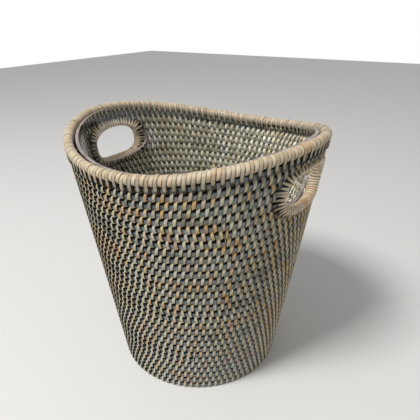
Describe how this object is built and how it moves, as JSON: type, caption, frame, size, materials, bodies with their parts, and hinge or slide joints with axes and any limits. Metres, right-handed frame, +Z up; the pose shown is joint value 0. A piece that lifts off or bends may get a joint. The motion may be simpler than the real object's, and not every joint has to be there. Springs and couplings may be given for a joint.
{
  "type": "champagne ice bucket",
  "caption": "Tapered oval rattan bucket with a saddle-shaped bound rim, two hand openings and a clear lift-out liner that holds ice round a bottle.",
  "frame": {"origin": "centre of the footprint, on the surface that the base hoop stands on", "axes": "+Z up, +X through the right hand opening, +Y to the back"},
  "size_m": [0.273, 0.239, 0.2693],
  "materials": {
    "wall_cane": "matt grey-washed cane",
    "binding_cane": "satin pale split cane",
    "base_cane": "matt cane",
    "clear_acrylic": "polished clear acrylic"
  },
  "bodies": {
    "basket": {"base_hoop": "wall_cane", "base_coil": "base_cane", "course_02": "wall_cane", "course_03": "wall_cane", "course_04": "wall_cane", "course_05": "wall_cane", "course_06": "wall_cane", "course_07": "wall_cane", "course_08": "wall_cane", "course_09": "wall_cane", "course_10": "wall_cane", "course_11": "wall_cane", "course_12": "wall_cane", "course_13": "wall_cane", "course_14": "wall_cane", "course_15": "wall_cane", "course_16": "wall_cane", "course_17": "wall_cane", "course_18": "wall_cane", "course_19": "wall_cane", "course_20": "wall_cane", "course_21": "wall_cane", "course_22": "wall_cane", "course_23": "wall_cane", "course_24": "wall_cane", "course_25_front": "wall_cane", "course_25_back": "wall_cane", "course_26_front": "wall_cane", "course_26_back": "wall_cane", "course_27_front": "wall_cane", "course_27_back": "wall_cane", "course_28_front": "wall_cane", "course_28_back": "wall_cane", "course_29_front": "wall_cane", "course_29_back": "wall_cane", "course_30_front": "wall_cane", "course_30_back": "wall_cane", "course_31": "wall_cane", "rim_hoop": "wall_cane", "rim_binding": "binding_cane", "handle_loop_right": "wall_cane", "handle_binding_right": "binding_cane", "handle_loop_left": "wall_cane", "handle_binding_left": "binding_cane"},
    "liner": {"liner": "clear_acrylic"}
  },
  "joints": [
    {"name": "liner_lift", "type": "slide", "parent": "basket", "child": "liner", "axis": [0, 0, 1], "range_m": [0, 0.27]}
  ]
}
